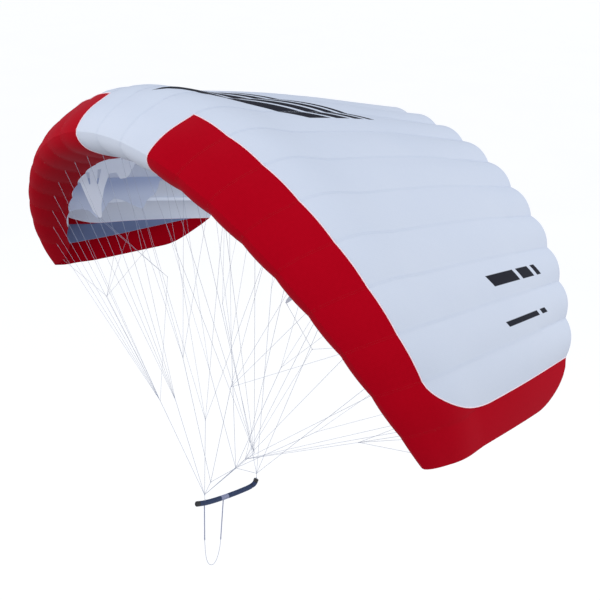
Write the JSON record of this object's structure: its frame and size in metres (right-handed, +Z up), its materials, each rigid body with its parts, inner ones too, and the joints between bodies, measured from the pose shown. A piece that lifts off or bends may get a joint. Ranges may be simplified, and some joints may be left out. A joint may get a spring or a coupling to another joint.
{
  "type": "parawing",
  "caption": "Arched single-skin cloth wing with ribs and fanned lines that run down to a short hand bar with a harness loop.",
  "frame": {"origin": "middle of the bar's centre band, where the rider's hands hold it", "axes": "+X to the wing's right tip, +Y from the wing's nose to its tail, +Z up, in flight"},
  "size_m": [2.4861, 1.6073, 2.348],
  "materials": {
    "white_cloth": "coated ripstop, bluish white",
    "red_cloth": "coated ripstop, red",
    "rib_cloth": "coated rib cloth, white",
    "blue_rib_cloth": "coated rib cloth, pale blue",
    "slate_rib_cloth": "coated rib cloth, slate blue",
    "line_cord": "thin braided cord, pale grey",
    "webbing": "tubular webbing, pale grey",
    "grip_foam": "fine-grained foam grip, navy",
    "centre_band": "light grey band",
    "mark": "light ring",
    "end_cap": "moulded cap, near black"
  },
  "bodies": {
    "root": {"bar_centre_band": "centre_band", "bar_end_grip": "grip_foam", "bar_front_cap": "end_cap", "bar_front_grip": "grip_foam", "bar_mark": "mark", "bar_rear_cap": "end_cap", "bar_rear_grip": "grip_foam", "lines_back_left": "line_cord", "lines_back_right": "line_cord", "lines_belly_left": "line_cord", "lines_belly_right": "line_cord", "lines_corner_left": "line_cord", "lines_corner_right": "line_cord", "lines_flare_left": "line_cord", "lines_flare_right": "line_cord", "lines_from_end": "line_cord", "lines_from_front": "line_cord", "lines_from_rear": "line_cord", "lines_from_upper": "line_cord", "lines_inner_left": "line_cord", "lines_inner_right": "line_cord", "lines_middle": "line_cord", "lines_outer_left": "line_cord", "lines_outer_right": "line_cord", "lines_side_left": "line_cord", "lines_side_right": "line_cord", "lines_tail_left": "line_cord", "lines_tail_right": "line_cord", "lines_tip_left": "line_cord", "lines_tip_right": "line_cord", "loop_leg_front": "webbing", "loop_leg_rear": "webbing", "loop_line": "line_cord", "rib_01_left": "slate_rib_cloth", "rib_01_right": "slate_rib_cloth", "rib_02_left": "rib_cloth", "rib_02_right": "rib_cloth", "rib_03_left": "blue_rib_cloth", "rib_03_right": "blue_rib_cloth", "rib_04_left": "rib_cloth", "rib_04_right": "rib_cloth", "rib_05_left": "rib_cloth", "rib_05_right": "rib_cloth", "rib_06_left": "rib_cloth", "rib_06_right": "rib_cloth", "rib_07_left": "rib_cloth", "rib_07_right": "rib_cloth", "rib_08_left": "rib_cloth", "rib_08_right": "rib_cloth", "rib_09_left": "rib_cloth", "rib_09_right": "rib_cloth", "rib_10_left": "rib_cloth", "rib_10_right": "rib_cloth", "skin_red_left": "red_cloth", "skin_red_right": "red_cloth", "skin_white": "white_cloth"}
  },
  "joints": []
}
